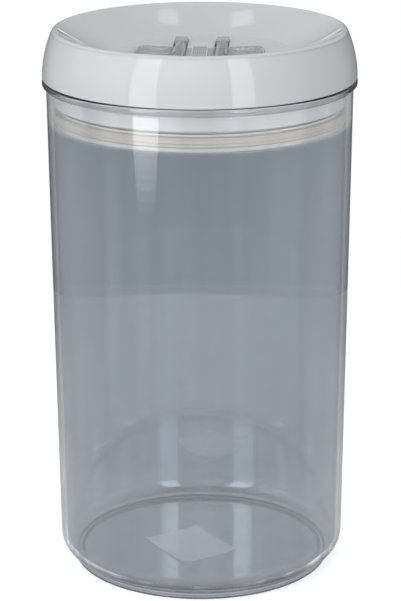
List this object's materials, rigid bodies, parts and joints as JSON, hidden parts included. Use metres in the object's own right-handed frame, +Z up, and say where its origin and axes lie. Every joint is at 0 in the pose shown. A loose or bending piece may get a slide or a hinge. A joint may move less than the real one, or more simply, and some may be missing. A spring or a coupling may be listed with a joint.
{
  "type": "vacuum seal canister",
  "caption": "Tall round clear food canister with a white lift-off lid; fold-flat clear wings in the lid's dish turn cams that squeeze a silicone gasket against the wall.",
  "frame": {"origin": "middle of the foot ring's underside, on the table", "axes": "+Z up along the canister's axis; the wings' axles run along Y; front, as pictured, at -Y"},
  "size_m": [0.1294, 0.1294, 0.2294],
  "materials": {
    "clear_wall": "clear, smoke-tinted, polished",
    "clear_film": "clear film",
    "white_gloss": "polished white",
    "white_moulded": "satin white",
    "silicone": "translucent cream silicone",
    "clear_handle": "clear grey, polished",
    "grey_pad": "smooth acetal",
    "steel": "bright zinc"
  },
  "bodies": {
    "canister": {"canister_body": "clear_wall", "base_label": "clear_film"},
    "lid": {"base_disc": "white_moulded", "bearing_cap_front_left": "clear_handle", "bearing_cap_front_right": "clear_handle", "bearing_cap_rear_left": "clear_handle", "bearing_cap_rear_right": "clear_handle", "centre_block": "clear_handle", "cover_screws": "steel", "gasket": "silicone", "lid_cover": "white_gloss", "lid_plug": "white_moulded", "post_screws": "steel", "return_spring_front_left": "steel", "return_spring_front_right": "steel", "return_spring_rear_left": "steel", "return_spring_rear_right": "steel"},
    "plate": {"pressure_plate": "white_moulded", "cam_pad_left": "grey_pad", "cam_pad_right": "grey_pad"},
    "wing_right": {"wing_right": "clear_handle"},
    "wing_left": {"wing_left": "clear_handle"}
  },
  "joints": [
    {"name": "lid_lift", "type": "slide", "parent": "canister", "child": "lid", "axis": [0, 0, 1], "range_m": [0, 0.15]},
    {"name": "wing_right_flip", "type": "hinge", "parent": "lid", "child": "wing_right", "pos_m": [0.0086, 0, 0.2179], "axis": [0, -1, 0], "range_deg": [0, 90]},
    {"name": "wing_left_flip", "type": "hinge", "parent": "lid", "child": "wing_left", "pos_m": [-0.0086, 0, 0.2179], "axis": [0, 1, 0], "range_deg": [0, 90]},
    {"name": "plate_press", "type": "slide", "parent": "lid", "child": "plate", "axis": [0, 0, 1], "range_m": [0, 0.001], "deforming": ["gasket", "return_spring_front_left", "return_spring_front_right", "return_spring_rear_left", "return_spring_rear_right"]}
  ],
  "couplings": [
    {"joint": "wing_left_flip", "follows": "wing_right_flip", "ratio": 1},
    {"joint": "plate_press", "follows": "wing_right_flip", "m_per_rad": 0.00063661}
  ]
}
